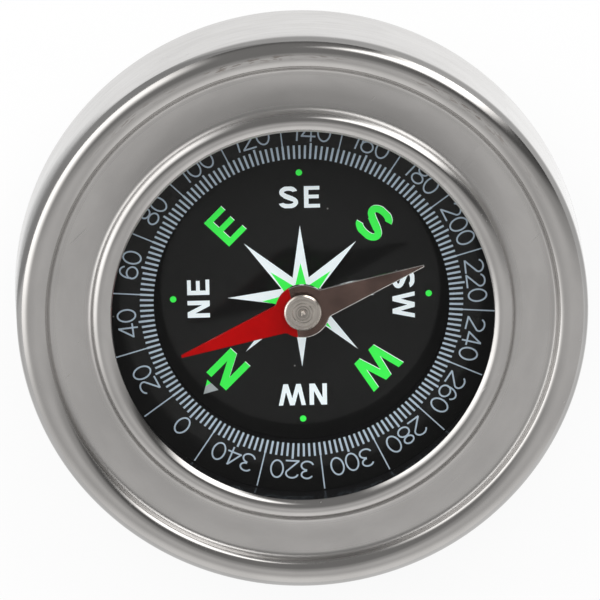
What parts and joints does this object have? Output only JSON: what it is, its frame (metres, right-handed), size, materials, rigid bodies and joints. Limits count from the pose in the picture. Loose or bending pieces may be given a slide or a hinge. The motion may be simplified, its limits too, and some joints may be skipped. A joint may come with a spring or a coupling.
{
  "type": "pocket compass",
  "caption": "Round pocket compass: pressed steel case with a beaded rim, flat glass over a printed dial with a raised degree ring, and a two-colour needle turning on a point.",
  "frame": {"origin": "centre of the base plane, on the pivot's axis", "axes": "+Z out of the face, +Y towards north on the dial, +X towards east on the dial"},
  "size_m": [0.06, 0.06, 0.0126],
  "materials": {
    "steel_shell": "polished stainless sheet, satin wall",
    "steel_cover": "satin stainless sheet",
    "window_glass": "clear flat glass",
    "rubber_gasket": "matt black rubber",
    "cup_black": "glossy black moulding",
    "ring_print": "satin black card with a printed scale",
    "disc_print": "satin black card with a printed rose",
    "post_brass": "turned brass",
    "pin_steel": "hardened and ground steel",
    "needle_paint": "steel, one half dipped in red paint",
    "cap_metal": "turned, fine concentric rings",
    "jewel_glass": "ground glass",
    "collar_metal": "turned",
    "packing_plastic": "matt moulding",
    "pad_foam": "closed-cell foam"
  },
  "bodies": {
    "case": {"outer_shell": "steel_shell", "base_cover": "steel_cover", "window_glass": "window_glass", "window_gasket": "rubber_gasket", "dial_cup": "cup_black", "degree_ring": "ring_print", "dial_disc": "disc_print", "pivot_post": "post_brass", "pivot_pin": "pin_steel", "locating_ring": "packing_plastic", "cushion_pad": "pad_foam"},
    "needle": {"needle_blade": "needle_paint", "needle_cap": "cap_metal", "jewel_cup": "jewel_glass", "cap_collar": "collar_metal"}
  },
  "joints": [
    {"name": "needle_turn", "type": "hinge", "parent": "case", "child": "needle", "pos_m": [0, 0, 0.00935], "axis": [0, 0, 1], "continuous": true}
  ]
}
